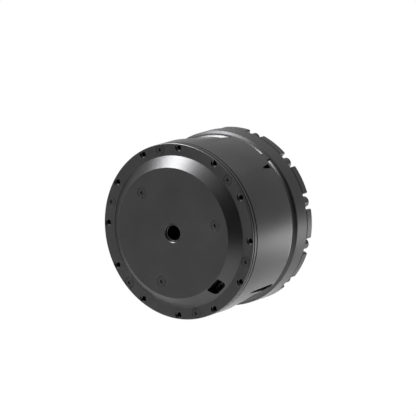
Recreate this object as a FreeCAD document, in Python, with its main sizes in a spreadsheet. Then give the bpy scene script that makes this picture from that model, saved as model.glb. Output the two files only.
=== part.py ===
import FreeCAD, Part
import math
import os

import Sketcher
from FreeCAD import Placement, Rotation, Vector

# A hollow robot joint actuator: a drum-shaped motor and planetary gearbox on one axis.
# The axis is Y. The mounting face of the rear cover lies at Y = 0 and looks towards -Y, the lobed
# output flange looks towards +Y, and +Z is up. Angles run about the axis from +X towards +Z.
# Lengths are in millimetres, angles in degrees.

os.makedirs("parts", exist_ok=True)
doc = FreeCAD.newDocument("joint_actuator")
sheet = doc.addObject("Spreadsheet::Sheet", "Sizes")


# ---------------------------------------------------------------- sizes

class Size:
    """A cell of the sheet, or what is worked out from cells, kept as an expression."""

    def __init__(self, text):
        self.text = str(text)

    def __add__(self, other):
        return Size(f"({self.text} + {Size.of(other).text})")

    def __sub__(self, other):
        return Size(f"({self.text} - {Size.of(other).text})")

    def __mul__(self, other):
        return Size(f"({self.text} * {Size.of(other).text})")

    def __truediv__(self, other):
        return Size(f"({self.text} / {Size.of(other).text})")

    def __neg__(self):
        return Size(f"(0 - {self.text})")

    @staticmethod
    def of(other):
        return other if isinstance(other, Size) else Size(other)

    @property
    def value(self):
        return float(sheet.evalExpression(self.text))


row_number = 0


def size(alias, number, meaning):
    """Write one driving size to the sheet and return it."""
    global row_number
    row_number += 1
    sheet.set(f"A{row_number}", meaning)
    sheet.set(f"B{row_number}", str(number))
    sheet.setAlias(f"B{row_number}", alias)
    return Size(f"Sizes.{alias}")


# Fits and clearances
seat_gap = size("seat_gap", 0.03, "radial gap where one fixed piece seats in another")
thread_gap = size("thread_gap", 0.03, "radial gap of a screw in its tapped hole")
screw_gap = size("screw_gap", 0.15, "radial gap of a screw in its clearance hole")
turning_gap = size("turning_gap", 0.05, "radial running gap of a plain bearing")
flange_gap = size("flange_gap", 0.4, "axial gap in front of the turning output flange")
free_gap = size("free_gap", 0.45, "radial gap between pieces that turn past each other")
air_gap = size("air_gap", 0.7, "magnetic gap between stator teeth and magnets")

# Drum
outer_radius = size("outer_radius", 49.0, "outside of the drum")
housing_wall = size("housing_wall", 5.0, "wall of the main housing")
housing_length = size("housing_length", 36.9, "main housing, seam to seam")
seam_chamfer = size("seam_chamfer", 0.25, "bevel on both sides of the cover seam")
edge_bevel_length = size("edge_bevel_length", 1.8, "bevel at the housing's front edge, along the axis")
edge_bevel_depth = size("edge_bevel_depth", 1.1, "bevel at the housing's front edge, radial")
scoop_length = size("scoop_length", 24.7, "side scoop, along the axis")
scoop_depth = size("scoop_depth", 3.0, "side scoop, deepest")
scoop_width = size("scoop_width", 60.0, "side scoop, angle covered")
scoop_angle = size("scoop_angle", 108.0, "direction of the upper scoop")
notch_length = size("notch_length", 9.6, "tapered nick beside the lug, along the axis")
notch_depth = size("notch_depth", 2.4, "tapered nick, deepest")
notch_width = size("notch_width", 4.2, "tapered nick, angle covered")
notch_angle = size("notch_angle", 44.4, "direction of the nick")
notch_edge = size("notch_edge", 4.7, "nick to the housing's front edge")
shoulder_width = size("shoulder_width", 4.5, "ring inside the housing that the stator seats on, radial")
shoulder_length = size("shoulder_length", 3.7, "stator shoulder ring, along the axis")

# Rear cover
rim_thickness = size("rim_thickness", 4.2, "cover rim, mounting face to seam")
rim_bevel = size("rim_bevel", 0.3, "bevel round the mounting face")
rim_line_place = size("rim_line_place", 1.4, "fine turned line on the rim, from the mounting face")
rim_line_width = size("rim_line_width", 0.3, "width of the turned line")
rim_line_depth = size("rim_line_depth", 0.2, "depth of the turned line")
face_width = size("face_width", 6.7, "flat mounting face round the cone, radial")
cone_run = size("cone_run", 6.0, "cone between plate and mounting face, radial")
plate_height = size("plate_height", 5.4, "raised plate above the mounting face")
cover_wall = size("cover_wall", 2.2, "wall of the raised plate and cone")
spigot_length = size("spigot_length", 2.0, "ring of the cover that centres it in the housing")
spigot_wall = size("spigot_wall", 1.35, "wall of that ring")
cable_notch_gap = size("cable_notch_gap", 0.1, "plate edge to the cable notch")
cable_notch_width = size("cable_notch_width", 10.0, "cable notch, across")
cable_notch_angle = size("cable_notch_angle", -45.0, "direction of the cable notch")

# Mounting holes and cover screws
mount_hole_inset = size("mount_hole_inset", 2.25, "outside of the drum to the mounting holes")
mount_hole_radius = size("mount_hole_radius", 1.5, "M3 mounting hole")
mount_hole_depth = size("mount_hole_depth", 10.0, "mounting hole, from the mounting face")
cover_screw_inset = size("cover_screw_inset", 3.1, "outside of the drum to the cover screws")
cover_screw_angle = size("cover_screw_angle", 45.0, "direction of the first cover screw")
plate_screw_inset = size("plate_screw_inset", 7.5, "edge of the plate to its screws and posts")
plate_screw_angle = size("plate_screw_angle", 15.0, "direction of the first plate screw")
m3_radius = size("m3_radius", 1.5, "M3 thread")
m3_head_radius = size("m3_head_radius", 2.75, "M3 countersunk head")
cover_screw_length = size("cover_screw_length", 10.0, "cover screw")
plate_screw_length = size("plate_screw_length", 7.0, "plate screw")

# Electronics
board_place = size("board_place", 6.6, "rear face of the driver board, from the mounting face")
board_thickness = size("board_thickness", 1.6, "driver board")
board_edge_gap = size("board_edge_gap", 3.0, "driver board to the housing wall")
board_bore_radius = size("board_bore_radius", 13.0, "hole in the driver board")
post_radius = size("post_radius", 2.6, "board post and spacer")
board_to_plate = size("board_to_plate", 3.0, "spacers between driver board and motor end plate")
capacitor_radius = size("capacitor_radius", 4.0, "capacitor can")
capacitor_height = size("capacitor_height", 7.6, "capacitor can")
capacitor_pitch_radius = size("capacitor_pitch_radius", 21.5, "circle of the capacitors")
transistor_length = size("transistor_length", 6.0, "power transistor")
transistor_width = size("transistor_width", 5.0, "power transistor")
transistor_height = size("transistor_height", 1.0, "power transistor")
transistor_inset = size("transistor_inset", 6.5, "edge of the board to the power transistors")
chip_side = size("chip_side", 7.0, "controller chip")
chip_height = size("chip_height", 0.9, "controller chip")
chip_pitch_radius = size("chip_pitch_radius", 23.0, "circle of the controller chips")
sensor_angle = size("sensor_angle", 105.0, "direction of both position sensors")
sensor_length = size("sensor_length", 3.0, "position sensor chip")
sensor_height = size("sensor_height", 0.6, "position sensor chip")
socket_width = size("socket_width", 9.0, "cable socket, across")
socket_height = size("socket_height", 4.0, "cable socket, off the board")
socket_wall = size("socket_wall", 0.9, "wall of the cable socket")
socket_gap = size("socket_gap", 0.5, "cable socket to the edges of the cable notch")

# Motor
end_plate_thickness = size("end_plate_thickness", 2.5, "motor end plate")
end_plate_rim = size("end_plate_rim", 3.6, "rim of the end plate that presses on the stator")
end_plate_rim_wall = size("end_plate_rim_wall", 3.5, "wall of that rim")
yoke_width = size("yoke_width", 4.7, "back of the stator core, radial")
tooth_width = size("tooth_width", 3.6, "stator tooth")
tooth_length = size("tooth_length", 8.3, "stator tooth and shoe, radial")
shoe_width = size("shoe_width", 6.2, "shoe at the tip of a stator tooth")
shoe_thickness = size("shoe_thickness", 1.2, "edge of the shoe")
coil_thickness = size("coil_thickness", 2.0, "winding round a tooth")
coil_gap = size("coil_gap", 0.15, "winding to its tooth")
coil_margin = size("coil_margin", 0.4, "winding to the shoe and to the yoke")
magnet_thickness = size("magnet_thickness", 2.5, "rotor magnet")
magnet_angle = size("magnet_angle", 15.0, "angle covered by one magnet")
magnet_margin = size("magnet_margin", 0.5, "stator core longer than a magnet, each end")
rotor_ring_wall = size("rotor_ring_wall", 3.1, "steel ring under the magnets")
rotor_web_thickness = size("rotor_web_thickness", 3.0, "web of the rotor hub")
rotor_boss_wall = size("rotor_boss_wall", 2.5, "boss of the rotor hub round the shaft")
shaft_radius = size("shaft_radius", 8.5, "hollow rotor shaft, 17 mm bearing seat")
bearing_radius = size("bearing_radius", 13.0, "rotor bearing, 26 mm outside")
bearing_width = size("bearing_width", 5.0, "rotor bearing")
bearing_lip = size("bearing_lip", 0.8, "lip that stops the rotor bearing")
bearing_lip_height = size("bearing_lip_height", 1.5, "height of that lip")
bearing_hub_wall = size("bearing_hub_wall", 2.5, "wall round the rotor bearing")
m25_radius = size("m25_radius", 1.25, "M2.5 thread")
m25_head_radius = size("m25_head_radius", 2.1, "M2.5 pan head")
m25_head_height = size("m25_head_height", 1.8, "M2.5 pan head")
tie_screw_inset = size("tie_screw_inset", 2.5, "bore of the housing to the stator tie screws")
tie_screw_angle = size("tie_screw_angle", 30.0, "direction of the first tie screw")
tie_screw_thread = size("tie_screw_thread", 3.3, "tie screw, length in the shoulder ring")
lead_radius = size("lead_radius", 0.9, "motor lead")
lead_angle = size("lead_angle", 180.0, "direction of the middle motor lead")
lead_step = size("lead_step", 15.0, "angle between motor leads")
lead_inset = size("lead_inset", 3.27, "back of the stator core to the motor leads")

# Gearbox
gearbox_length = size("gearbox_length", 13.4, "gearbox housing, groove to output seam")
flange_cone_depth = size("flange_cone_depth", 3.6, "cone of the gearbox housing in the groove")
flange_cone_length = size("flange_cone_length", 3.6, "that cone, along the axis")
lug_height = size("lug_height", 3.2, "lug that bridges the groove, above its foot")
lug_width = size("lug_width", 8.0, "lug, angle covered")
lug_angle = size("lug_angle", 54.0, "direction of the lug")
dowel_radius = size("dowel_radius", 1.0, "dowel pin through the lug")
dowel_length = size("dowel_length", 9.0, "dowel pin")
dowel_inset = size("dowel_inset", 2.7, "outside of the drum to the dowel pins")
floor_thickness = size("floor_thickness", 2.4, "floor between motor and gears")
gear_seat_height = size("gear_seat_height", 2.8, "seat of the ring gear above the floor")
gear_seat_width = size("gear_seat_width", 5.2, "seat of the ring gear, radial")
gear_shell_wall = size("gear_shell_wall", 1.95, "gearbox wall round the ring gear")
ring_gear_width = size("ring_gear_width", 8.0, "ring gear, along the axis")
ring_gear_rim = size("ring_gear_rim", 2.9, "ring gear outside its tooth roots")
gear_backlash = size("gear_backlash", 0.12, "each tooth thinner than half the pitch by this")
planet_width = size("planet_width", 5.8, "planet gear, along the axis")
planet_side_gap = size("planet_side_gap", 0.7, "planet gear to the carrier")
pin_radius = size("pin_radius", 3.2, "planet pin")
bush_wall = size("bush_wall", 1.3, "bronze bush on the planet pin")
pin_depth = size("pin_depth", 3.0, "planet pin in the carrier disc")
sun_tail_radius = size("sun_tail_radius", 6.6, "tail of the sun gear in the rotor shaft")
sun_tail_length = size("sun_tail_length", 5.0, "that tail")
carrier_plate_thickness = size("carrier_plate_thickness", 2.2, "inner plate of the planet carrier")
carrier_edge = size("carrier_edge", 0.5, "inner plate of the carrier outside its pillars")
sun_clearance = size("sun_clearance", 0.85, "sun gear to the hole in the planet carrier")
carrier_lip = size("carrier_lip", 1.0, "lip of the carrier disc behind the inner race")
carrier_lip_height = size("carrier_lip_height", 2.3, "height of that lip")
pillar_radius = size("pillar_radius", 5.0, "pillar between the carrier plates")
pillar_offset = size("pillar_offset", 4.5, "circle of the pillars outside the circle of the planets")
carrier_screw_length = size("carrier_screw_length", 8.0, "carrier screw")
m2_radius = size("m2_radius", 1.0, "M2 thread")
m2_head_radius = size("m2_head_radius", 1.8, "M2 head")
m2_head_height = size("m2_head_height", 2.0, "M2 cap head")
gearbox_screw_inset = size("gearbox_screw_inset", 2.7, "bore of the housing to the gearbox screws")
gearbox_screw_angle = size("gearbox_screw_angle", 90.0, "direction of the first gearbox screw")
gearbox_screw_thread = size("gearbox_screw_thread", 3.2, "gearbox screw, length in the shoulder ring")

# Output
roller_radius = size("roller_radius", 2.25, "crossed roller")
roller_end_gap = size("roller_end_gap", 0.1, "end of a roller to its race")
roller_gap = size("roller_gap", 0.03, "side of a roller to its race")
race_width = size("race_width", 6.7, "output bearing, along the axis")
race_split = size("race_split", 0.5, "inner and outer race to the roller circle")
inner_race_wall = size("inner_race_wall", 6.25, "output bearing, bore to roller circle")
retainer_thickness = size("retainer_thickness", 1.6, "ring that holds the output bearing")
retainer_overlap = size("retainer_overlap", 3.4, "retainer ring over the outer race")
retainer_edge = size("retainer_edge", 1.2, "gearbox wall outside the retainer ring")
retainer_screw_inset = size("retainer_screw_inset", 3.4, "outside of the drum to the retainer screws")
retainer_screw_length = size("retainer_screw_length", 5.0, "retainer screw")
seal_gap = size("seal_gap", 0.1, "seal to the bearing behind it")
output_thickness = size("output_thickness", 4.4, "lobed output flange")
seal_width = size("seal_width", 2.3, "retainer ring to the hub of the output flange")
lobe_window_width = size("lobe_window_width", 8.6, "gap between long lobes at the rim")
lobe_window_depth = size("lobe_window_depth", 5.2, "depth of that gap")
lobe_corner = size("lobe_corner", 1.4, "rounded corner of a long lobe")
lobe_radius = size("lobe_radius", 3.0, "short lobe round a threaded hole")
lobe_inset = size("lobe_inset", 3.5, "outside of the drum to the middle of a short lobe")
lobe_angle = size("lobe_angle", 15.0, "direction of the first output hole")
output_hole_radius = size("output_hole_radius", 1.5, "M3 output hole")
output_hole_inset = size("output_hole_inset", 4.0, "outside of the drum to the output holes")
m4_radius = size("m4_radius", 2.0, "M4 thread")
m4_head_radius = size("m4_head_radius", 3.5, "M4 cap head")
m4_head_height = size("m4_head_height", 4.0, "M4 cap head")
output_screw_pitch_radius = size("output_screw_pitch_radius", 22.0, "circle of the output screws")
output_screw_thread = size("output_screw_thread", 5.5, "output screw, length in the carrier")
tube_wall = size("tube_wall", 0.65, "hollow tube, wall")
cover_bore_gap = size("cover_bore_gap", 0.15, "hole in the middle of the cover round the tube")
tube_recess = size("tube_recess", 1.0, "end of the tube below the plate face")
tube_collar_radius = size("tube_collar_radius", 8.0, "collar of the tube in the output flange")
tube_collar_thickness = size("tube_collar_thickness", 1.5, "that collar")
code_ring_radius = size("code_ring_radius", 9.0, "magnetic ring on the hollow tube")
code_ring_length = size("code_ring_length", 2.0, "magnetic rings of both encoders")
rotor_code_radius = size("rotor_code_radius", 12.4, "magnetic ring on the rotor shaft")
doc.recompute()

# Counts and shares
MOUNT_HOLES = 12
OUTPUT_HOLES = 12
COVER_SCREWS = 6
PLATE_SCREWS = 3
TIE_SCREWS = 3
GEARBOX_SCREWS = 3
CARRIER_SCREWS = 3
RETAINER_SCREWS = 6
OUTPUT_SCREWS = 6
TRANSISTORS = 6
STATOR_TEETH = 24
ROTOR_MAGNETS = 20
ROLLERS = 24
PLANETS = 3
SUN_TEETH = 12
PLANET_TEETH = 24
RING_TEETH = SUN_TEETH + 2 * PLANET_TEETH
FIRST_PLANET_ANGLE = 90.0
PRESSURE_ANGLE = math.radians(25)
ROOT_FACTOR = 1.25
TUBE_BORE_SHARE = 3 / 35
RACE_SHARE = 0.38
FOOT_SHARE = 1.1
SHOE_SLOPE = 1.6


# ---------------------------------------------------------------- places along the axis

seam = rim_thickness
housing_end = seam + housing_length
gearbox_end = housing_end + gearbox_length
race_end = gearbox_end - retainer_thickness
race_start = race_end - race_width
race_middle = race_start + race_width / 2
gear_seat = race_start - ring_gear_width
floor_end = gear_seat - gear_seat_height
floor_start = floor_end - floor_thickness
stator_end = floor_start - shoulder_length
output_start = gearbox_end + flange_gap
output_end = output_start + output_thickness
plate_face = -plate_height
plate_back = plate_face + cover_wall
board_front = board_place + board_thickness
end_plate_start = board_front + board_to_plate
end_plate_front = end_plate_start + end_plate_thickness
stator_start = end_plate_front + end_plate_rim
disc_start = race_start - carrier_lip
planet_end = disc_start - planet_side_gap
planet_start = planet_end - planet_width
carrier_plate_end = planet_start - planet_side_gap
carrier_plate_start = carrier_plate_end - carrier_plate_thickness
rear_bearing_start = end_plate_start + bearing_lip
front_bearing_end = floor_end - bearing_lip
front_bearing_start = front_bearing_end - bearing_width
shaft_start = end_plate_start - code_ring_length - bearing_lip / 4
sun_start = carrier_plate_start + bearing_lip / 2
stator_middle = (stator_start + stator_end) / 2

# ---------------------------------------------------------------- radii

bore_radius = outer_radius - housing_wall
cone_foot_radius = outer_radius - face_width
plate_radius = cone_foot_radius - cone_run
cable_notch_inner = plate_radius + cable_notch_gap
mount_pitch_radius = outer_radius - mount_hole_inset
cover_screw_pitch_radius = outer_radius - cover_screw_inset
plate_screw_pitch_radius = plate_radius - plate_screw_inset
dowel_pitch_radius = outer_radius - dowel_inset
retainer_screw_pitch_radius = outer_radius - retainer_screw_inset
lobe_pitch_radius = outer_radius - lobe_inset
output_hole_pitch_radius = outer_radius - output_hole_inset
tie_screw_pitch_radius = bore_radius - tie_screw_inset
gearbox_screw_pitch_radius = bore_radius - gearbox_screw_inset
board_radius = bore_radius - board_edge_gap
transistor_pitch_radius = board_radius - transistor_inset
race_thickness = (bearing_radius - shaft_radius) * RACE_SHARE
seated_radius = bore_radius - seat_gap
shoulder_radius = bore_radius - shoulder_width
spigot_inner = seated_radius - spigot_wall
yoke_inner = seated_radius - yoke_width
lead_pitch_radius = yoke_inner - lead_inset
stator_bore = yoke_inner - tooth_length
magnet_outer = stator_bore - air_gap
magnet_inner = magnet_outer - magnet_thickness
tube_bore_radius = outer_radius * TUBE_BORE_SHARE
tube_outer = tube_bore_radius + tube_wall
cover_bore_radius = tube_outer + cover_bore_gap
shaft_bore = tube_outer + free_gap + turning_gap
ring_gear_outer = seated_radius - gear_shell_wall - seat_gap
gear_seat_inner = ring_gear_outer - gear_seat_width
race_outer = bore_radius
race_bore = race_outer + (-inner_race_wall) - (roller_radius + roller_gap) * 2
roller_circle = race_bore + inner_race_wall
ring_root = ring_gear_outer - ring_gear_rim
gear_module = ring_root / (RING_TEETH / 2 + ROOT_FACTOR)
lead_directions = (lead_angle - lead_step, lead_angle, lead_angle + lead_step)
planet_circle = gear_module * ((SUN_TEETH + PLANET_TEETH) / 2)
pillar_pitch_radius = planet_circle + pillar_offset
carrier_radius = pillar_pitch_radius + pillar_radius + carrier_edge
carrier_bore_radius = gear_module * (SUN_TEETH / 2 + 1) + sun_clearance
retainer_inner = bore_radius - retainer_overlap
output_hub_radius = retainer_inner - seal_width


# ---------------------------------------------------------------- ways of making a piece

pieces = []
cuts = []


def origin_feature(body, role):
    return next(item for item in body.Origin.OriginFeatures if item.Role == role)


def new_body(label):
    body = doc.addObject("PartDesign::Body", label)
    body.Label = label
    pieces.append(body)
    return body


def arc_between(start, end, radius):
    """Arc of a circle from start to end that bulges left (radius > 0) or right, and if it is reversed."""
    chord = end - start
    half = chord.Length / 2
    rise = abs(radius) - math.sqrt(max(radius * radius - half * half, 0))
    left = Vector(-chord.y, chord.x, 0).normalize()
    middle = (start + end) / 2 + left * math.copysign(rise, radius)
    if radius > 0:
        return Part.Arc(end, middle, start), True
    return Part.Arc(start, middle, end), False


def outline(body, points, plane="XY_Plane", direction=None, height=None):
    """Closed outline whose corners follow the sheet. A third entry rounds the way to the next corner."""
    sketch = body.newObject("Sketcher::SketchObject", "Outline")
    sketch.AttachmentSupport = [(origin_feature(body, plane), "")]
    sketch.MapMode = "FlatFace"
    places = [Vector(Size.of(point[0]).value, Size.of(point[1]).value, 0) for point in points]
    starts = []
    ends = []
    for index, point in enumerate(points):
        start = places[index]
        end = places[(index + 1) % len(points)]
        reverse = False
        edge = Part.LineSegment(start, end)
        if len(point) > 2:
            edge, reverse = arc_between(start, end, point[2].value)
        number = sketch.addGeometry(edge, False)
        starts.append((number, 2 if reverse else 1))
        ends.append((number, 1 if reverse else 2))
    for index, point in enumerate(points):
        corner = starts[index]
        sketch.addConstraint(Sketcher.Constraint("Coincident", *ends[index - 1], *corner))
        for kind, length, place in (("DistanceX", point[0], places[index].x),
                                    ("DistanceY", point[1], places[index].y)):
            number = sketch.addConstraint(Sketcher.Constraint(kind, -1, 1, *corner, place))
            sketch.setExpression(f"Constraints[{number}]", Size.of(length).text)
        if len(point) > 2:
            radius = abs(point[2].value)
            number = sketch.addConstraint(Sketcher.Constraint("Radius", starts[index][0], radius))
            sketch.setExpression(f"Constraints[{number}]", f"abs({point[2].text})")
    turn_axis = Vector(0, -1, 0) if plane == "XY_Plane" else Vector(0, 0, 1)
    angle = Size.of(direction or 0)
    sketch.AttachmentOffset = Placement(Vector(), Rotation(turn_axis, angle.value))
    if angle.value:
        sketch.setExpression("AttachmentOffset.Rotation.Angle", angle.text)
    if height is not None:
        sketch.setExpression("AttachmentOffset.Base.z", height.text)
    return sketch


def turn(body, points, direction=None, sweep=None, cut=False, own_axis=False, count=1):
    """Turn an outline of (radius, place) points about Y, or about its own last edge, count times round."""
    sketch = outline(body, points, direction=direction)
    kind = "PartDesign::Groove" if cut else "PartDesign::Revolution"
    feature = body.newObject(kind, "Turned")
    feature.Profile = sketch
    last_edge = f"Edge{len(points)}"
    feature.ReferenceAxis = (sketch, [last_edge if own_axis else "V_Axis"])
    feature.Angle = 360
    if sweep is not None:
        feature.Midplane = True
        feature.setExpression("Angle", Size.of(sweep).text)
    return repeat(body, feature, cut, count)


def prism(body, points, low, high, direction=None, cut=False, count=1):
    """Push an outline of (x, z) points from low to high along Y, count times round the axis."""
    sketch = outline(body, points, "XZ_Plane", direction, -(low + high) / 2)
    kind = "PartDesign::Pocket" if cut else "PartDesign::Pad"
    feature = body.newObject(kind, "Pushed")
    feature.Profile = sketch
    feature.SideType = "Symmetric"
    feature.setExpression("Length", (high - low).text)
    return repeat(body, feature, cut, count)


def repeat(body, feature, cut, count):
    """Repeat a feature round the Y axis and make it the body's last step."""
    if cut:
        cuts.append(feature)
    if count > 1:
        pattern = body.newObject("PartDesign::PolarPattern", "Round")
        pattern.Originals = [feature]
        pattern.Axis = (origin_feature(body, "Y_Axis"), [""])
        pattern.Angle = 360
        pattern.Occurrences = count
        feature = pattern
    body.Tip = feature
    return feature


def ring(label, inner, outer, low, high):
    body = new_body(label)
    turn(body, [(inner, low), (outer, low), (outer, high), (inner, high)])
    return body


def rods(label, circle, radius, low, high, direction, count):
    """Plain round pieces that stand along Y on a circle."""
    body = new_body(label)
    turn(body, rod_outline(circle, radius, low, high), direction, own_axis=True, count=count)
    return body


def rod_outline(circle, radius, low, high):
    return [(circle, low), (circle + radius, low), (circle + radius, high), (circle, high)]


def drill(body, circle, radius, low, high, direction, count):
    """Round holes along Y on a circle."""
    outline_points = rod_outline(circle, radius, low, high)
    turn(body, outline_points, direction, cut=True, own_axis=True, count=count)


def box_outline(low_x, high_x, width):
    half = width / 2
    return [(low_x, -half), (high_x, -half), (high_x, half), (low_x, half)]


def sunk_head(circle, face, outwards, gap=Size(0)):
    """Outline of a countersunk M3 head: face is its top, outwards is -1 where the head looks to -Y."""
    depth = (m3_head_radius - m3_radius) * -outwards
    return [(circle + m3_head_radius + gap, face), (circle + m3_radius + gap, face + depth)]


def cap_screws(label, circle, radius, head_radius, head_low, head_high, tip, direction, count):
    """Screws with a cylinder head from head_low to head_high and a shank that ends at tip."""
    body = new_body(label)
    low_side = tip.value > head_high.value
    seat = head_high if low_side else head_low
    top = head_low if low_side else head_high
    turn(body, [(circle, top), (circle + head_radius, top), (circle + head_radius, seat),
                (circle + radius, seat), (circle + radius, tip), (circle, tip)],
         direction, own_axis=True, count=count)
    return body


# ---------------------------------------------------------------- rear cover and its screws

def make_rear_cover():
    """Turned dish: mounting rim, cone, raised plate and centring ring, with a cable notch in the cone."""
    body = new_body("rear_cover")
    inner_plate_radius = plate_radius - cover_wall / 2
    inner_foot_radius = inner_plate_radius + cone_run * (seam / plate_height) * FOOT_SHARE
    turn(body, [
        (cover_bore_radius, plate_face), (plate_radius, plate_face), (cone_foot_radius, Size(0)),
        (outer_radius - rim_bevel, Size(0)), (outer_radius, rim_bevel),
        (outer_radius, rim_line_place), (outer_radius - rim_line_depth, rim_line_place),
        (outer_radius - rim_line_depth, rim_line_place + rim_line_width),
        (outer_radius, rim_line_place + rim_line_width),
        (outer_radius, seam - seam_chamfer), (outer_radius - seam_chamfer, seam),
        (seated_radius, seam), (seated_radius, seam + spigot_length),
        (spigot_inner, seam + spigot_length), (spigot_inner, seam - cover_wall / 2),
        (inner_foot_radius, seam - cover_wall / 2),
        (inner_plate_radius, plate_back), (cover_bore_radius, plate_back)])
    drill(body, mount_pitch_radius, mount_hole_radius, -rim_bevel, seam + spigot_length,
          0, MOUNT_HOLES)
    for circle, face, direction, count in (
            (cover_screw_pitch_radius, Size(0), cover_screw_angle, COVER_SCREWS),
            (plate_screw_pitch_radius, plate_face, plate_screw_angle, PLATE_SCREWS)):
        turn(body, [(circle, face)] + sunk_head(circle, face, -1, seat_gap)
             + [(circle + m3_radius + seat_gap, seam + spigot_length), (circle, seam + spigot_length)],
             direction, cut=True, own_axis=True, count=count)
    prism(body, box_outline(cable_notch_inner, spigot_inner, cable_notch_width),
          plate_face - cover_wall, seam - cover_wall / 2, cable_notch_angle, cut=True)


def make_sunk_screws(label, circle, face, length, direction, count):
    """Countersunk M3 screws whose heads lie flush in a face that looks to -Y."""
    body = new_body(label)
    turn(body, [(circle, face)] + sunk_head(circle, face, -1)
         + [(circle + m3_radius, face + length), (circle, face + length)],
         direction, own_axis=True, count=count)


def make_cover_fasteners():
    make_sunk_screws("cover_screws", cover_screw_pitch_radius, Size(0), cover_screw_length,
                     cover_screw_angle, COVER_SCREWS)
    make_sunk_screws("plate_screws", plate_screw_pitch_radius, plate_face, plate_screw_length,
                     plate_screw_angle, PLATE_SCREWS)


# ---------------------------------------------------------------- electronics

def make_electronics():
    """Driver board on three posts, with its power parts on the side that looks at the cover."""
    board = ring("driver_board", board_bore_radius, board_radius, board_place, board_front)
    for direction in lead_directions:
        drill(board, lead_pitch_radius, lead_radius + seat_gap, board_place, board_front,
              direction, 1)

    posts = rods("board_posts", plate_screw_pitch_radius, post_radius, plate_back, board_place,
                 plate_screw_angle, PLATE_SCREWS)
    drill(posts, plate_screw_pitch_radius, m3_radius + thread_gap, plate_back,
          plate_face + plate_screw_length + screw_gap * 2, plate_screw_angle, PLATE_SCREWS)
    rods("board_spacers", plate_screw_pitch_radius, post_radius, board_front, end_plate_start,
         plate_screw_angle, PLATE_SCREWS)

    rods("capacitors", capacitor_pitch_radius, capacitor_radius, board_place - capacitor_height,
         board_place, plate_screw_angle + 60, 3)

    transistors = new_body("power_transistors")
    prism(transistors, box_outline(transistor_pitch_radius - transistor_length / 2,
                                   transistor_pitch_radius + transistor_length / 2, transistor_width),
          board_place - transistor_height, board_place, 0, count=TRANSISTORS)

    chips = new_body("controller_chips")
    prism(chips, box_outline(chip_pitch_radius - chip_side / 2, chip_pitch_radius + chip_side / 2,
                             chip_side),
          board_place - chip_height, board_place, plate_screw_angle + 30, count=3)

    sensors = new_body("position_sensors")
    sensor_outline = box_outline(board_bore_radius + sensor_height,
                                 board_bore_radius + sensor_height + sensor_length, sensor_length)
    prism(sensors, sensor_outline, board_place - sensor_height, board_place, sensor_angle)
    prism(sensors, sensor_outline, board_front, board_front + sensor_height, sensor_angle)

    socket = new_body("cable_socket")
    inner = cable_notch_inner + socket_gap
    outer = spigot_inner - socket_gap * 2
    prism(socket, box_outline(inner, outer, socket_width),
          board_place - socket_height, board_place, cable_notch_angle)
    prism(socket, box_outline(inner + socket_wall, outer - socket_wall, socket_width - socket_wall * 2),
          board_place - socket_height, board_place - socket_wall, cable_notch_angle, cut=True)


# ---------------------------------------------------------------- main housing

def make_main_housing():
    """Drum with an inner shoulder for the stator, two side scoops, two tapered nicks and two lug feet."""
    body = new_body("main_housing")
    turn(body, [
        (bore_radius, seam), (outer_radius - seam_chamfer, seam), (outer_radius, seam + seam_chamfer),
        (outer_radius, housing_end - edge_bevel_length),
        (outer_radius - edge_bevel_depth, housing_end), (bore_radius, housing_end),
        (bore_radius, floor_start), (shoulder_radius, floor_start),
        (shoulder_radius, stator_end), (bore_radius, stator_end)])
    past = outer_radius + 1
    scoop_start = housing_end - scoop_length
    turn(body, [(outer_radius, scoop_start), (past, scoop_start), (past, housing_end),
                (outer_radius - scoop_depth, housing_end)],
         scoop_angle, scoop_width, cut=True, count=2)
    nick_end = housing_end - notch_edge
    turn(body, [(outer_radius, nick_end - notch_length), (past, nick_end - notch_length),
                (past, nick_end), (outer_radius - notch_depth, nick_end)],
         notch_angle, notch_width, cut=True, count=2)
    lug_top = outer_radius - flange_cone_depth + lug_height
    foot = outer_radius - edge_bevel_depth * 2
    turn(body, [(foot, housing_end - edge_bevel_length), (lug_top, housing_end - edge_bevel_length),
                (lug_top, housing_end), (foot, housing_end)],
         lug_angle, lug_width, count=2)
    drill(body, mount_pitch_radius, mount_hole_radius, seam, mount_hole_depth, 0, MOUNT_HOLES)
    drill(body, cover_screw_pitch_radius, m3_radius + thread_gap, seam,
          cover_screw_length + screw_gap * 2, cover_screw_angle, COVER_SCREWS)
    drill(body, tie_screw_pitch_radius, m25_radius + thread_gap, stator_end,
          stator_end + tie_screw_thread + screw_gap, tie_screw_angle, TIE_SCREWS)
    drill(body, gearbox_screw_pitch_radius, m2_radius + thread_gap,
          floor_start - gearbox_screw_thread - screw_gap, floor_start, gearbox_screw_angle,
          GEARBOX_SCREWS)
    drill(body, dowel_pitch_radius, dowel_radius + seat_gap, housing_end - dowel_length / 2,
          housing_end, lug_angle, 2)


# ---------------------------------------------------------------- motor

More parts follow.
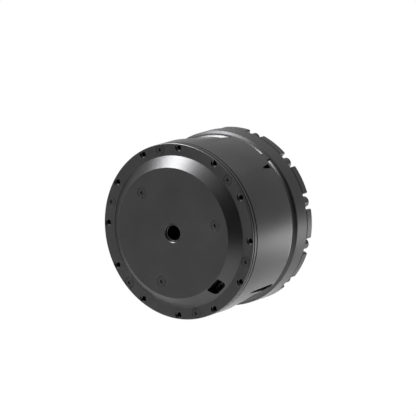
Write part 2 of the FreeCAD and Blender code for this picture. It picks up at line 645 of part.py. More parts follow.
def make_stator():
    """Clamping end plate, laminated core, windings, tie screws and motor leads."""
    plate = new_body("motor_end_plate")
    hub_radius = bearing_radius + bearing_hub_wall
    hub_end = rear_bearing_start + bearing_width
    lip_radius = bearing_radius - bearing_lip_height
    rim_inner = seated_radius - end_plate_rim_wall
    turn(plate, [
        (lip_radius, end_plate_start), (seated_radius, end_plate_start), (seated_radius, stator_start),
        (rim_inner, stator_start), (rim_inner, end_plate_front), (hub_radius, end_plate_front),
        (hub_radius, hub_end), (bearing_radius + seat_gap, hub_end),
        (bearing_radius + seat_gap, rear_bearing_start), (lip_radius, rear_bearing_start)])
    drill(plate, tie_screw_pitch_radius, m25_radius + screw_gap, end_plate_start, stator_start,
          tie_screw_angle, TIE_SCREWS)

    core = ring("stator_core", yoke_inner, seated_radius, stator_start, stator_end)
    tip = stator_bore
    half_shoe = shoe_width / 2
    half_tooth = tooth_width / 2
    root = tip + shoe_thickness + (half_shoe - half_tooth) / SHOE_SLOPE
    back = yoke_inner + shoe_thickness
    prism(core, [(tip, -half_shoe), (tip + shoe_thickness, -half_shoe), (root, -half_tooth),
                 (back, -half_tooth), (back, half_tooth), (root, half_tooth),
                 (tip + shoe_thickness, half_shoe), (tip, half_shoe)],
          stator_start, stator_end, 0, count=STATOR_TEETH)
    drill(core, tie_screw_pitch_radius, m25_radius + screw_gap, stator_start, stator_end,
          tie_screw_angle, TIE_SCREWS)

    coils = new_body("stator_coils")
    coil_inner = root + coil_margin
    coil_outer = yoke_inner - coil_margin
    coil_half = half_tooth + coil_gap + coil_thickness
    coil_end = coil_gap + coil_thickness
    prism(coils, box_outline(coil_inner, coil_outer, coil_half * 2),
          stator_start - coil_end, stator_end + coil_end, 0, count=STATOR_TEETH)
    prism(coils, box_outline(coil_inner - coil_margin, coil_outer + coil_margin,
                             (half_tooth + coil_gap) * 2),
          stator_start - coil_gap, stator_end + coil_gap, 0, cut=True, count=STATOR_TEETH)

    cap_screws("tie_screws", tie_screw_pitch_radius, m25_radius, m25_head_radius,
               end_plate_start - m25_head_height, end_plate_start,
               stator_end + tie_screw_thread, tie_screw_angle, TIE_SCREWS)

    leads = new_body("motor_leads")
    for direction in lead_directions:
        turn(leads, rod_outline(lead_pitch_radius, lead_radius, board_place, stator_start - coil_end),
             direction, own_axis=True)
        drill(plate, lead_pitch_radius, lead_radius + screw_gap, end_plate_start, end_plate_front,
              direction, 1)


def make_rotor():
    """Hollow shaft in two ball bearings, with a steel hub that carries the magnets."""
    race_inner = bearing_radius - race_thickness
    shaft_race = shaft_radius + race_thickness
    for name, start in (("rear", rear_bearing_start), ("front", front_bearing_start)):
        ring(f"{name}_bearing_outer_race", race_inner, bearing_radius, start, start + bearing_width)
        ring(f"{name}_bearing_inner_race", shaft_radius + seat_gap, shaft_race, start,
             start + bearing_width)

    shaft = new_body("rotor_shaft")
    tail_start = sun_start - sun_tail_length
    turn(shaft, [(shaft_bore, shaft_start), (shaft_radius, shaft_start), (shaft_radius, sun_start),
                 (sun_tail_radius + seat_gap, sun_start), (sun_tail_radius + seat_gap, tail_start),
                 (shaft_bore, tail_start)])

    hub = new_body("rotor_hub")
    boss = shaft_radius + rotor_boss_wall
    ring_outer = magnet_inner - seat_gap
    ring_inner = ring_outer - rotor_ring_wall
    half_web = rotor_web_thickness / 2
    half_ring = (stator_end - stator_start) / 2 - magnet_margin
    boss_start = rear_bearing_start + bearing_width
    turn(hub, [
        (shaft_radius + seat_gap, boss_start), (boss, boss_start), (boss, stator_middle - half_web),
        (ring_inner, stator_middle - half_web), (ring_inner, stator_middle - half_ring),
        (ring_outer, stator_middle - half_ring), (ring_outer, stator_middle + half_ring),
        (ring_inner, stator_middle + half_ring), (ring_inner, stator_middle + half_web),
        (boss, stator_middle + half_web), (boss, front_bearing_start),
        (shaft_radius + seat_gap, front_bearing_start)])

    magnets = new_body("rotor_magnets")
    turn(magnets, [(magnet_inner, stator_middle - half_ring), (magnet_outer, stator_middle - half_ring),
                   (magnet_outer, stator_middle + half_ring), (magnet_inner, stator_middle + half_ring)],
         0, magnet_angle, count=ROTOR_MAGNETS)

    ring("rotor_code_ring", shaft_radius + seat_gap, rotor_code_radius, shaft_start,
         shaft_start + code_ring_length)


# ---------------------------------------------------------------- gearbox

def make_gearbox_housing():
    """Turned front housing: cone and lugs in the groove, floor, gear seat and output bearing seat."""
    body = new_body("gearbox_housing")
    cone_foot = outer_radius - flange_cone_depth
    hub_radius = bearing_radius + bearing_hub_wall
    lip_radius = bearing_radius - bearing_lip_height
    recess = outer_radius - retainer_edge
    turn(body, [
        (cone_foot, housing_end), (outer_radius, housing_end + flange_cone_length),
        (outer_radius, gearbox_end), (recess, gearbox_end), (recess, race_end),
        (bore_radius + seat_gap, race_end), (bore_radius + seat_gap, race_start),
        (ring_gear_outer + seat_gap, race_start), (ring_gear_outer + seat_gap, gear_seat),
        (gear_seat_inner, gear_seat), (gear_seat_inner, floor_end), (lip_radius, floor_end),
        (lip_radius, front_bearing_end), (bearing_radius + seat_gap, front_bearing_end),
        (bearing_radius + seat_gap, front_bearing_start), (hub_radius, front_bearing_start),
        (hub_radius, floor_start), (seated_radius, floor_start), (seated_radius, housing_end)])
    lug_foot = cone_foot - 1
    lug_top = cone_foot + lug_height
    turn(body, [(lug_foot, housing_end), (lug_top, housing_end),
                (lug_top, housing_end + flange_cone_length), (lug_foot, housing_end + flange_cone_length)],
         lug_angle, lug_width, count=2)
    drill(body, dowel_pitch_radius, dowel_radius + seat_gap, housing_end,
          housing_end + dowel_length / 2, lug_angle, 2)
    drill(body, gearbox_screw_pitch_radius, m2_radius + screw_gap, floor_start, gear_seat,
          gearbox_screw_angle, GEARBOX_SCREWS)
    drill(body, gearbox_screw_pitch_radius, m2_head_radius + screw_gap, gear_seat - m2_head_height,
          gear_seat, gearbox_screw_angle, GEARBOX_SCREWS)
    drill(body, retainer_screw_pitch_radius, m2_radius + thread_gap,
          race_end + retainer_thickness - retainer_screw_length - screw_gap, race_end,
          0, RETAINER_SCREWS)

    rods("dowel_pins", dowel_pitch_radius, dowel_radius, housing_end - dowel_length / 2,
         housing_end + dowel_length / 2, lug_angle, 2)
    cap_screws("gearbox_screws", gearbox_screw_pitch_radius, m2_radius, m2_head_radius,
               gear_seat - m2_head_height, gear_seat, floor_start - gearbox_screw_thread,
               gearbox_screw_angle, GEARBOX_SCREWS)


def make_carrier():
    """Planet carrier: a disc with three pillars, an inner plate, pins, bushes and screws."""
    disc = new_body("carrier_disc")
    seat = race_bore - seat_gap
    turn(disc, [(carrier_bore_radius, disc_start), (race_bore + carrier_lip_height, disc_start),
                (race_bore + carrier_lip_height, race_start), (seat, race_start), (seat, race_end),
                (carrier_bore_radius, race_end)])
    pillar_angle = FIRST_PLANET_ANGLE + 180 / PLANETS
    turn(disc, rod_outline(pillar_pitch_radius, pillar_radius, carrier_plate_end, disc_start),
         pillar_angle, own_axis=True, count=PLANETS)
    drill(disc, pillar_pitch_radius, m3_radius + thread_gap, carrier_plate_end,
          carrier_plate_start + carrier_screw_length + screw_gap, pillar_angle, CARRIER_SCREWS)
    drill(disc, planet_circle, pin_radius + seat_gap, disc_start, race_start + pin_depth,
          FIRST_PLANET_ANGLE, PLANETS)
    drill(disc, output_screw_pitch_radius, m4_radius + thread_gap,
          race_end - output_screw_thread - screw_gap, race_end, 0, OUTPUT_SCREWS)

    plate = ring("carrier_plate", carrier_bore_radius, carrier_radius, carrier_plate_start,
                 carrier_plate_end)
    drill(plate, planet_circle, pin_radius + seat_gap, carrier_plate_start, carrier_plate_end,
          FIRST_PLANET_ANGLE, PLANETS)
    circle = pillar_pitch_radius
    turn(plate, [(circle, carrier_plate_start)] + sunk_head(circle, carrier_plate_start, -1, seat_gap)
         + [(circle + m3_radius + seat_gap, carrier_plate_end), (circle, carrier_plate_end)],
         pillar_angle, cut=True, own_axis=True, count=CARRIER_SCREWS)
    screws = new_body("carrier_screws")
    turn(screws, [(circle, carrier_plate_start)] + sunk_head(circle, carrier_plate_start, -1)
         + [(circle + m3_radius, carrier_plate_start + carrier_screw_length),
            (circle, carrier_plate_start + carrier_screw_length)],
         pillar_angle, own_axis=True, count=CARRIER_SCREWS)

    rods("planet_pins", planet_circle, pin_radius, carrier_plate_start, race_start + pin_depth,
         FIRST_PLANET_ANGLE, PLANETS)
    bushes = rods("planet_bushes", planet_circle, pin_radius + bush_wall, carrier_plate_end, disc_start,
                  FIRST_PLANET_ANGLE, PLANETS)
    drill(bushes, planet_circle, pin_radius + seat_gap, carrier_plate_end, disc_start,
          FIRST_PLANET_ANGLE, PLANETS)


def polar(radius, angle):
    return Vector(radius * math.cos(angle), 0, radius * math.sin(angle))


def involute(angle):
    return math.tan(angle) - angle


def toothed_wire(teeth, module, inner, outer, thickening, first_angle):
    """Closed involute outline: teeth that reach from inner to outer, each thicker by thickening."""
    pitch = teeth * module / 2
    base = pitch * math.cos(PRESSURE_ANGLE)
    base_half = math.pi / (2 * teeth) + thickening / (2 * pitch) + involute(PRESSURE_ANGLE)
    flank_start = max(inner, base)
    flank_middle = (flank_start + outer) / 2

    def half_angle(radius):
        return base_half - involute(math.acos(min(base / radius, 1)))

    edges = []
    for tooth in range(teeth):
        middle = first_angle + tooth * 2 * math.pi / teeth
        following = middle + 2 * math.pi / teeth
        rising = [polar(radius, middle - half_angle(radius))
                  for radius in (flank_start, flank_middle, outer)]
        falling = [polar(radius, middle + half_angle(radius))
                   for radius in (outer, flank_middle, flank_start)]
        foot = half_angle(flank_start)
        foot_start = polar(inner, middle + foot)
        foot_end = polar(inner, following - foot)
        if flank_start > inner:
            edges.append(Part.makeLine(polar(inner, middle - foot), rising[0]))
        edges.append(Part.Arc(*rising).toShape())
        edges.append(Part.Arc(rising[-1], polar(outer, middle), falling[0]).toShape())
        edges.append(Part.Arc(*falling).toShape())
        if flank_start > inner:
            edges.append(Part.makeLine(falling[-1], foot_start))
        edges.append(Part.Arc(foot_start, polar(inner, (middle + following) / 2), foot_end).toShape())
    return Part.Wire(edges)


def push(wires, low, high):
    """Flat outlines, the outermost first, pushed from low to high along Y."""
    face = Part.Face(wires, "Part::FaceMakerBullseye")
    return face.extrude(Vector(0, high - low, 0)).translated(Vector(0, low, 0))


def gear_piece(label, shape, place=Vector()):
    """A finished toothed shape as a piece, moved to its place."""
    piece = doc.addObject("Part::Feature", label)
    piece.Label = label
    piece.Shape = shape
    piece.Placement = Placement(place, Rotation())
    pieces.append(piece)


def round_wire(radius):
    return Part.Wire(Part.makeCircle(radius, Vector(), Vector(0, 1, 0)))


def make_gears():
    """Involute sun, planets and ring, stored in mesh: a sun tooth points at each planet."""
    module = gear_module.value
    backlash = gear_backlash.value
    first = math.radians(FIRST_PLANET_ANGLE)
    bore = round_wire(shaft_bore.value)
    sun_end = disc_start.value - planet_side_gap.value / 2

    sun_teeth = toothed_wire(SUN_TEETH, module, module * (SUN_TEETH / 2 - ROOT_FACTOR),
                             module * (SUN_TEETH / 2 + 1), -backlash, first)
    sun_tail = round_wire(sun_tail_radius.value)
    sun = push([sun_teeth, bore], 0, sun_end - sun_start.value)
    sun = sun.fuse(push([sun_tail, bore], -sun_tail_length.value, 0))
    gear_piece("sun_gear", sun, Vector(0, sun_start.value, 0))

    half_pitch = math.pi / PLANET_TEETH
    bush_bore = round_wire(pin_radius.value + bush_wall.value + turning_gap.value)
    for number in range(PLANETS):
        direction = first + number * 2 * math.pi / PLANETS
        teeth = toothed_wire(PLANET_TEETH, module, module * (PLANET_TEETH / 2 - ROOT_FACTOR),
                             module * (PLANET_TEETH / 2 + 1), -backlash, direction + half_pitch)
        centre = polar(planet_circle.value, direction) + Vector(0, planet_start.value, 0)
        gear_piece(f"planet_gear_{number + 1}", push([teeth, bush_bore], 0, planet_width.value), centre)

    teeth = toothed_wire(RING_TEETH, module, module * (RING_TEETH / 2 - 1), ring_root.value,
                         backlash, first + math.pi / RING_TEETH)
    gear_piece("ring_gear", push([round_wire(ring_gear_outer.value), teeth], 0, ring_gear_width.value),
               Vector(0, gear_seat.value, 0))


# ---------------------------------------------------------------- output

def make_output_bearing():
    """Crossed-roller bearing: two grooved races, rollers that lean both ways in turn, and spacers."""
    groove = (roller_radius + roller_gap) * math.sqrt(2)
    outer_edge = roller_circle + race_split
    outer_race = new_body("output_bearing_outer_race")
    open_half = groove - race_split
    turn(outer_race, [
        (outer_edge, race_start), (bore_radius, race_start), (bore_radius, race_end),
        (outer_edge, race_end), (outer_edge, race_middle + open_half),
        (roller_circle + groove, race_middle), (outer_edge, race_middle - open_half)])
    inner_edge = roller_circle - race_split
    inner_race = new_body("output_bearing_inner_race")
    turn(inner_race, [
        (race_bore, race_start), (inner_edge, race_start), (inner_edge, race_middle - open_half),
        (roller_circle - groove, race_middle), (inner_edge, race_middle + open_half),
        (inner_edge, race_end), (race_bore, race_end)])

    rollers = new_body("crossed_rollers")
    reach = (roller_radius - roller_end_gap) / math.sqrt(2)
    side = roller_radius / math.sqrt(2)
    half_count = ROLLERS // 2
    for lean, direction in ((1, 0), (-1, 180 / half_count)):
        tilt = reach * lean
        out = side * -lean
        turn(rollers, [
            (roller_circle - reach, race_middle - tilt),
            (roller_circle - reach + out, race_middle - tilt + side),
            (roller_circle + reach + out, race_middle + tilt + side),
            (roller_circle + reach, race_middle + tilt)],
            direction, own_axis=True, count=half_count)

    spacers = new_body("roller_spacers")
    height = groove - roller_end_gap * 4
    turn(spacers, [(roller_circle - height, race_middle), (roller_circle, race_middle - height),
                   (roller_circle + height, race_middle), (roller_circle, race_middle + height)],
         180 / ROLLERS, Size(360 / ROLLERS) - (roller_radius + roller_end_gap * 4) * 2
         / (roller_circle - height) * (180 / math.pi), count=ROLLERS)

    recess = outer_radius - retainer_edge
    retainer_front = race_end + retainer_thickness
    retainer = ring("bearing_retainer", retainer_inner, recess - seat_gap, race_end, retainer_front)
    circle = retainer_screw_pitch_radius
    sink = m2_head_radius - m2_radius
    turn(retainer, [(circle, race_end), (circle + m2_radius + seat_gap, race_end),
                    (circle + m2_radius + seat_gap, retainer_front - sink),
                    (circle + m2_head_radius + seat_gap, retainer_front), (circle, retainer_front)],
         0, cut=True, own_axis=True, count=RETAINER_SCREWS)
    screws = new_body("retainer_screws")
    turn(screws, [(circle, retainer_front - retainer_screw_length),
                  (circle + m2_radius, retainer_front - retainer_screw_length),
                  (circle + m2_radius, retainer_front - sink),
                  (circle + m2_head_radius, retainer_front), (circle, retainer_front)],
         0, own_axis=True, count=RETAINER_SCREWS)
    ring("output_seal", output_hub_radius + turning_gap, retainer_inner - seat_gap,
         race_end + seal_gap, retainer_front)


def make_output_flange():
    """Flange with twelve long lobes and twelve short round ones, each round lobe with an M3 hole."""
    body = new_body("output_flange")
    collar_start = output_end - tube_collar_thickness
    turn(body, [
        (tube_outer + seat_gap, race_end), (output_hub_radius, race_end),
        (output_hub_radius, output_start), (outer_radius, output_start), (outer_radius, output_end),
        (tube_collar_radius + seat_gap, output_end), (tube_collar_radius + seat_gap, collar_start),
        (tube_outer + seat_gap, collar_start)])
    floor = outer_radius - lobe_window_depth
    rim = outer_radius - lobe_corner
    past = outer_radius + lobe_corner
    half = lobe_window_width / 2
    prism(body, [
        (floor, -half), (floor, half), (rim, half, lobe_corner * -1), (outer_radius, half + lobe_corner),
        (past, half + lobe_corner), (past, -half - lobe_corner),
        (outer_radius, -half - lobe_corner, lobe_corner * -1), (rim, -half)],
        output_start, output_end, lobe_angle, cut=True, count=OUTPUT_HOLES)
    turn(body, rod_outline(lobe_pitch_radius, lobe_radius, output_start, output_end),
         lobe_angle, own_axis=True, count=OUTPUT_HOLES)
    drill(body, output_hole_pitch_radius, output_hole_radius, output_start, output_end, lobe_angle,
          OUTPUT_HOLES)
    circle = output_screw_pitch_radius
    head_low = output_end - m4_head_height - screw_gap
    drill(body, circle, m4_radius + screw_gap, race_end, output_end, 0, OUTPUT_SCREWS)
    drill(body, circle, m4_head_radius + screw_gap, head_low, output_end, 0, OUTPUT_SCREWS)
    cap_screws("output_screws", circle, m4_radius, m4_head_radius, head_low,
               head_low + m4_head_height, race_end - output_screw_thread, 0, OUTPUT_SCREWS)

    tube = new_body("hollow_tube")
    turn(tube, [(tube_bore_radius, plate_face + tube_recess), (tube_outer, plate_face + tube_recess),
                (tube_outer, collar_start), (tube_collar_radius, collar_start),
                (tube_collar_radius, output_end), (tube_bore_radius, output_end)])
    code_end = board_place - bearing_lip
    ring("output_code_ring", tube_outer + seat_gap, code_ring_radius, code_end - code_ring_length,
         code_end)


# ---------------------------------------------------------------- build, check and write

make_rear_cover()
make_cover_fasteners()
make_electronics()
make_main_housing()
make_stator()
make_rotor()
make_gearbox_housing()
make_carrier()
make_gears()
make_output_bearing()
make_output_flange()
doc.recompute()

for item in doc.Objects:
    if "Invalid" in item.State or "Error" in item.State:
        raise RuntimeError(f"{item.Name} could not be made: {item.State}")
for cut in cuts:
    if cut.Shape.Volume >= cut.BaseFeature.Shape.Volume - 1e-6:
        raise RuntimeError(f"{cut.Name} cuts nothing")
for piece in pieces:
    if piece.Shape.isNull() or not piece.Shape.isValid():
        raise RuntimeError(f"{piece.Label} has no valid shape")
for piece in pieces:
    piece.Shape.exportStep(f"parts/{piece.Label}.step")
print(f"{len(pieces)} pieces written")
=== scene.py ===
from math import cos, pi, radians, sin

import bpy
from mathutils import Matrix, Vector


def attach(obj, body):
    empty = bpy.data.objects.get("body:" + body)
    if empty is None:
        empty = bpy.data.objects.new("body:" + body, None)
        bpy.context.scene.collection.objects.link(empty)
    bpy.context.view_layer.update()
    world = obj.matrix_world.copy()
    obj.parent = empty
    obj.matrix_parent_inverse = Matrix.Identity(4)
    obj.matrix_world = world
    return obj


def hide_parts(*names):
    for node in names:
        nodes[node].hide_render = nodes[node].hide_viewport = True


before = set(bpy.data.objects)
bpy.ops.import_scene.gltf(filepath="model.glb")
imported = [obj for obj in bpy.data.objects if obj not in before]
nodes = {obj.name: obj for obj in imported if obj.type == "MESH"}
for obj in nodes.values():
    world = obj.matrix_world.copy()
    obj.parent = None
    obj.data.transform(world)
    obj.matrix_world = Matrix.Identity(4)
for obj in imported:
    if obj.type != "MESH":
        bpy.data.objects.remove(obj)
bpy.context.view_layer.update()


# ---------------------------------------------------------------- main housing
# A drum turned from aluminium tube, with two shallow scoops and four tapered pockets milled into
# its side and a bevelled front edge. It is blasted and anodised black, and holds the stator.
MM = 0.001
ROUND = 192
EDGE_ANGLE = radians(16)


def span(label):
    """Where a CAD node starts and ends along the drum's axis, in millimetres."""
    places = [corner[1] / MM for corner in nodes[label].bound_box]
    return round(min(places), 2), round(max(places), 2)


def clear_selection():
    """Nothing is selected, and no mesh is being edited."""
    if bpy.context.object and bpy.context.object.mode != "OBJECT":
        bpy.ops.object.mode_set(mode="OBJECT")
    bpy.ops.object.select_all(action="DESELECT")


def take(piece):
    """Only this piece is selected and active."""
    clear_selection()
    piece.select_set(True)
    bpy.context.view_layer.objects.active = piece


def chain(name, points, closed=True):
    """A chain of edges through points in metres, left in edit mode with all of it selected."""
    clear_selection()
    bpy.ops.mesh.primitive_plane_add(size=MM)
    piece = bpy.context.object
    piece.name = name
    piece.data.name = name
    bpy.ops.object.mode_set(mode="EDIT")
    bpy.ops.mesh.select_all(action="SELECT")
    bpy.ops.mesh.merge(type="CENTER")
    bpy.ops.transform.translate(value=points[0])
    following = points[1:] + points[:1] if closed else points[1:]
    for before, point in zip(points, following):
        step = Vector(point) - Vector(before)
        bpy.ops.mesh.extrude_region_move(TRANSFORM_OT_translate={"value": step})
    bpy.ops.mesh.select_all(action="SELECT")
    bpy.ops.mesh.remove_doubles(threshold=1e-7)
    bpy.ops.mesh.select_all(action="SELECT")
    return piece


def finish_mesh(piece):
    """Doubles merged, faces outwards and smooth except over real edges."""
    take(piece)
    bpy.ops.object.mode_set(mode="EDIT")
    bpy.ops.mesh.select_all(action="SELECT")
    bpy.ops.mesh.remove_doubles(threshold=1e-7)
    bpy.ops.mesh.normals_make_consistent(inside=False)
    bpy.ops.object.mode_set(mode="OBJECT")
    bpy.ops.object.shade_smooth_by_angle(angle=EDGE_ANGLE)
    return piece


def spun(name, profile, steps=ROUND, circle=0.0):
    """Turn a profile of (radius, place) in millimetres about the line along Y at x = circle."""
    solid_core = profile[0][0] == 0 and profile[-1][0] == 0
    points = [((circle + radius) * MM, place * MM, 0) for radius, place in profile]
    piece = chain(name, points, closed=not solid_core)
    bpy.ops.mesh.spin(steps=steps, angle=2 * pi, center=(circle * MM, 0, 0), axis=(0, 1, 0))
    return finish_mesh(piece)


def turn_to(piece, direction):
    """Turn a finished mesh about the drum's axis, from +X towards +Z."""
    piece.data.transform(Matrix.Rotation(-radians(direction), 4, "Y"))
    return piece


def sector(name, profile, width, direction, steps=24, fade=0, rise=0):
    """The part of a turned ring that covers width degrees about a direction.

    Its ends can fade out: each covers fade degrees more and is lifted outwards by rise millimetres.
    """
    piece = chain(name, [((radius + rise) * MM, place * MM, 0) for radius, place in profile])
    turned = 0
    for angle, lift in ((fade, -rise), (width, 0), (fade, rise)):
        if angle:
            bpy.ops.mesh.spin(steps=1 if lift else steps, angle=radians(angle), center=(0, 0, 0),
                              axis=(0, -1, 0))
            turned -= radians(angle)
            bpy.ops.transform.translate(value=(lift * MM * cos(turned), 0, lift * MM * sin(turned)))
    bpy.ops.mesh.select_all(action="SELECT")
    bpy.ops.mesh.fill_holes(sides=0)
    return turn_to(finish_mesh(piece), direction + width / 2 + fade)


def prism(name, corners, low, high):
    """Push an outline of (x, z) corners in millimetres from low to high along Y."""
    piece = chain(name, [(x * MM, low * MM, z * MM) for x, z in corners])
    bpy.ops.mesh.edge_face_add()
    bpy.ops.mesh.extrude_region_move(TRANSFORM_OT_translate={"value": (0, (high - low) * MM, 0)})
    return finish_mesh(piece)


def joined(found):
    """Several objects as one."""
    take(found[0])
    for item in found:
        item.select_set(True)
    if len(found) > 1:
        bpy.ops.object.join()
    return found[0]


def work(piece, tools, operation="DIFFERENCE"):
    """Cut the tools' shapes out of a piece, or add them to it, and remove the tools."""
    tool = joined(tools)
    take(piece)
    bpy.ops.object.modifier_add(type="BOOLEAN")
    step = piece.modifiers[-1]
    step.operation = operation
    step.solver = "EXACT"
    step.object = tool
    bpy.ops.object.modifier_apply(modifier=step.name)
    bpy.data.objects.remove(tool)
    take(piece)
    bpy.ops.object.mode_set(mode="EDIT")
    bpy.ops.mesh.select_all(action="SELECT")
    bpy.ops.mesh.remove_doubles(threshold=1e-6)
    bpy.ops.mesh.dissolve_degenerate(threshold=1e-6)
    bpy.ops.object.mode_set(mode="OBJECT")
    bpy.ops.object.shade_smooth_by_angle(angle=EDGE_ANGLE)
    return piece


SEAM, HOUSING_END = span("main_housing")
STACK_END = span("stator_core")[1]
FLOOR_START = 33.0
OUTER = 49.0
HOUSING_BORE = 44.0
STOP_RADIUS = 39.5
SEAM_DEPTH = 0.5
SEAM_HALF = 0.4
EDGE_BEVEL = [(OUTER, HOUSING_END - 2.8), (OUTER - 0.1, HOUSING_END - 2.2),
              (OUTER - 0.6, HOUSING_END - 0.5), (OUTER - 0.9, HOUSING_END - 0.15),
              (OUTER - 1.2, HOUSING_END)]
drum = spun("main_housing_drum", [
    (HOUSING_BORE, SEAM), (OUTER - SEAM_DEPTH, SEAM),
    (OUTER - SEAM_DEPTH, SEAM + SEAM_HALF - 0.05), (OUTER, SEAM + SEAM_HALF)] + EDGE_BEVEL + [
    (HOUSING_BORE, HOUSING_END), (HOUSING_BORE, FLOOR_START), (STOP_RADIUS, FLOOR_START),
    (STOP_RADIUS, STACK_END), (HOUSING_BORE, STACK_END)])

SCOOP_START = 16.4
SCOOP_END = 42.0
SCOOP_FLOOR = 45.89
SCOOP_WIDTH = 42.0
SCOOP_FADE = 10.0
SCOOP_RISE = 3.2
CLEAR = 52.0
scoop_profile = [(OUTER, SCOOP_START), (CLEAR, SCOOP_START), (CLEAR, SCOOP_END),
                 (SCOOP_FLOOR, SCOOP_END)]
work(drum, [sector("scoop", scoop_profile, SCOOP_WIDTH, direction, fade=SCOOP_FADE,
                   rise=SCOOP_RISE) for direction in (108, 288)])

# Each pocket has its start along the axis, its direction round the drum and its half width.
POCKETS = [(31.0, 44.4, 1.7), (31.0, 224.4, 1.7),
           (SCOOP_START, 137.6, 2.6), (SCOOP_START, 317.6, 2.6)]
POCKET_WALL = 37.6
POCKET_FLOOR = 46.4
POCKET_TOP = 50.0
POCKET_TAPER = (0.27, 1, 0.3)


def pocket(start, direction, half):
    """Cutter for a pocket that widens and deepens from start to its end wall."""
    floor_half = half - 0.6
    piece = prism("pocket", [(POCKET_FLOOR, -floor_half), (POCKET_TOP, -half), (POCKET_TOP, half),
                             (POCKET_FLOOR, floor_half)], POCKET_WALL, start)
    bpy.ops.object.mode_set(mode="EDIT")
    bpy.ops.mesh.select_all(action="DESELECT")
    bpy.ops.object.mode_set(mode="OBJECT")
    for face in piece.data.polygons:
        face.select = face.center.y < (start + 0.1) * MM
    bpy.ops.object.mode_set(mode="EDIT")
    bpy.ops.transform.resize(value=POCKET_TAPER,
                             center_override=(POCKET_TOP * MM, start * MM, 0))
    bpy.ops.object.mode_set(mode="OBJECT")
    return turn_to(piece, direction)


work(drum, [pocket(start, direction, half) for start, direction, half in POCKETS])
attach(drum, "stator_body")
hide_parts("main_housing")


# Every finish is made of the same few effects: fine lines from the lathe, the grain that blasting
# leaves, and a slow unevenness from handling. Each finish gives them its own scale and strength.
def effect(name, fineness, output):
    """An empty node group with a fineness as its input and one number as its output."""
    tree = bpy.data.node_groups.new(name, "ShaderNodeTree")
    scale = tree.interface.new_socket("Fineness", in_out="INPUT", socket_type="NodeSocketFloat")
    scale.default_value = fineness
    tree.interface.new_socket(output, in_out="OUTPUT", socket_type="NodeSocketFloat")
    return tree, tree.nodes.new("NodeGroupInput"), tree.nodes.new("NodeGroupOutput")


def add(tree, kind, **values):
    """A node whose attributes and inputs are set by name."""
    node = tree.nodes.new(kind)
    for key, value in values.items():
        if key in node.inputs:
            node.inputs[key].default_value = value
        else:
            setattr(node, key, value)
    return node


def math_node(tree, operation, first, second=None):
    """The result of a sum on numbers or on the outputs of other nodes."""
    node = add(tree, "ShaderNodeMath", operation=operation)
    for socket, value in zip(node.inputs, (first, second)):
        if isinstance(value, (int, float)):
            socket.default_value = value
        elif value is not None:
            tree.links.new(value, socket)
    return node.outputs[0]


def ramp(tree, factor, low, high, start=0.3, end=0.7):
    """A number that runs from low to high while factor runs from start to end."""
    node = add(tree, "ShaderNodeMapRange")
    node.inputs["From Min"].default_value = start
    node.inputs["From Max"].default_value = end
    node.inputs["To Min"].default_value = low
    node.inputs["To Max"].default_value = high
    tree.links.new(factor, node.inputs["Value"])
    return node.outputs["Result"]


# Lines of a lathe tool: rings on a flat face, and turns along a round one.
lathe, lathe_in, lathe_out = effect("Lathe lines", 9000.0, "Lines")
place = add(lathe, "ShaderNodeTexCoord")
split = add(lathe, "ShaderNodeSeparateXYZ")
lathe.links.new(place.outputs["Object"], split.inputs[0])
across = math_node(lathe, "MULTIPLY", split.outputs["X"], split.outputs["X"])
upward = math_node(lathe, "MULTIPLY", split.outputs["Z"], split.outputs["Z"])
reach = math_node(lathe, "SQRT", math_node(lathe, "ADD", across, upward))
travel = math_node(lathe, "ADD", reach, split.outputs["Y"])
line_noise = add(lathe, "ShaderNodeTexNoise", noise_dimensions="1D", Detail=3.0, Scale=1.0)
lathe.links.new(math_node(lathe, "MULTIPLY", travel, lathe_in.outputs["Fineness"]),
                line_noise.inputs["W"])
lathe.links.new(line_noise.outputs["Fac"], lathe_out.inputs["Lines"])

# Grain of a blasted, moulded or cast surface.
grain, grain_in, grain_out = effect("Fine grain", 9000.0, "Grain")
place = add(grain, "ShaderNodeTexCoord")
speck = add(grain, "ShaderNodeTexNoise", Detail=4.0, Roughness=0.6)
grain.links.new(place.outputs["Object"], speck.inputs["Vector"])
grain.links.new(grain_in.outputs["Fineness"], speck.inputs["Scale"])
grain.links.new(speck.outputs["Fac"], grain_out.inputs["Grain"])

# Slow unevenness from handling and from the bath.
cloud, cloud_in, cloud_out = effect("Handling", 60.0, "Cloud")
place = add(cloud, "ShaderNodeTexCoord")
patch = add(cloud, "ShaderNodeTexNoise", Detail=2.0)
cloud.links.new(place.outputs["Object"], patch.inputs["Vector"])
cloud.links.new(cloud_in.outputs["Fineness"], patch.inputs["Scale"])
cloud.links.new(patch.outputs["Fac"], cloud_out.inputs["Cloud"])


def placed(tree, group, fineness):
    """An effect in a material, at this material's own fineness."""
    node = add(tree, "ShaderNodeGroup", node_tree=group)
    node.inputs["Fineness"].default_value = fineness
    return node.outputs[0]


